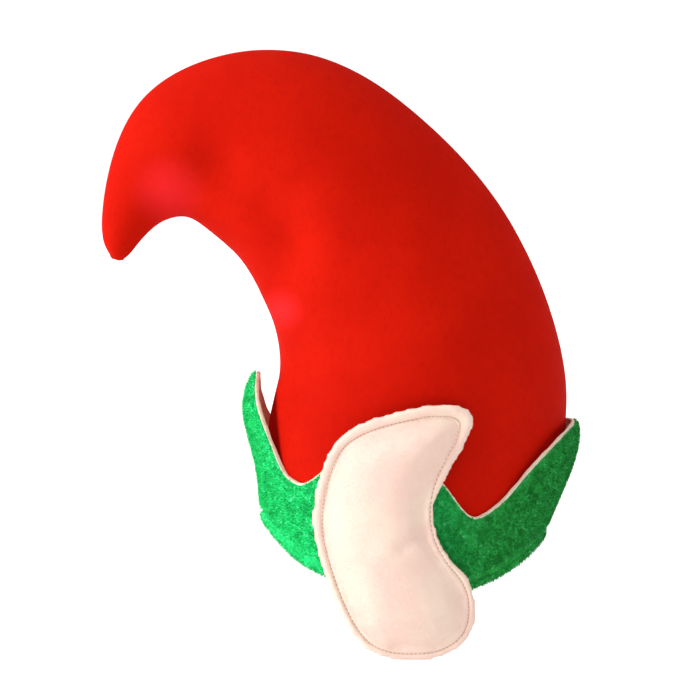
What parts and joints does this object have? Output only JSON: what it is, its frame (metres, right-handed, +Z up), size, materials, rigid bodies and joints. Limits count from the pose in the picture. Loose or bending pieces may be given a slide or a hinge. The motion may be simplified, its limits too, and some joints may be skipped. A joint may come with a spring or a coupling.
{
  "type": "elf hat",
  "caption": "Padded costume hat with a forward-curling horn crown, a cuff with upturned leaf points and a stuffed pointed ear on each side, worn on the head.",
  "frame": {"origin": "the middle of the head opening, at the height of the front of the rim, where a head holds the hat", "axes": "+Z up; the face looks toward -Y and the crown curls that way; +X is the wearer's left"},
  "size_m": [0.2152, 0.3609, 0.4407],
  "materials": {
    "red_velour": "short-pile red velour, foam-backed",
    "cream_foam": "thin cream foam backing with a raw cut edge",
    "green_plush": "green plush velour with a mottled pile",
    "flesh_velour": "pale flesh velour, stuffed and topstitched"
  },
  "bodies": {
    "root": {"crown_left": "red_velour", "crown_right": "red_velour", "cuff_backing": "cream_foam", "cuff": "green_plush", "ear_left": "flesh_velour", "ear_right": "flesh_velour"}
  },
  "joints": []
}
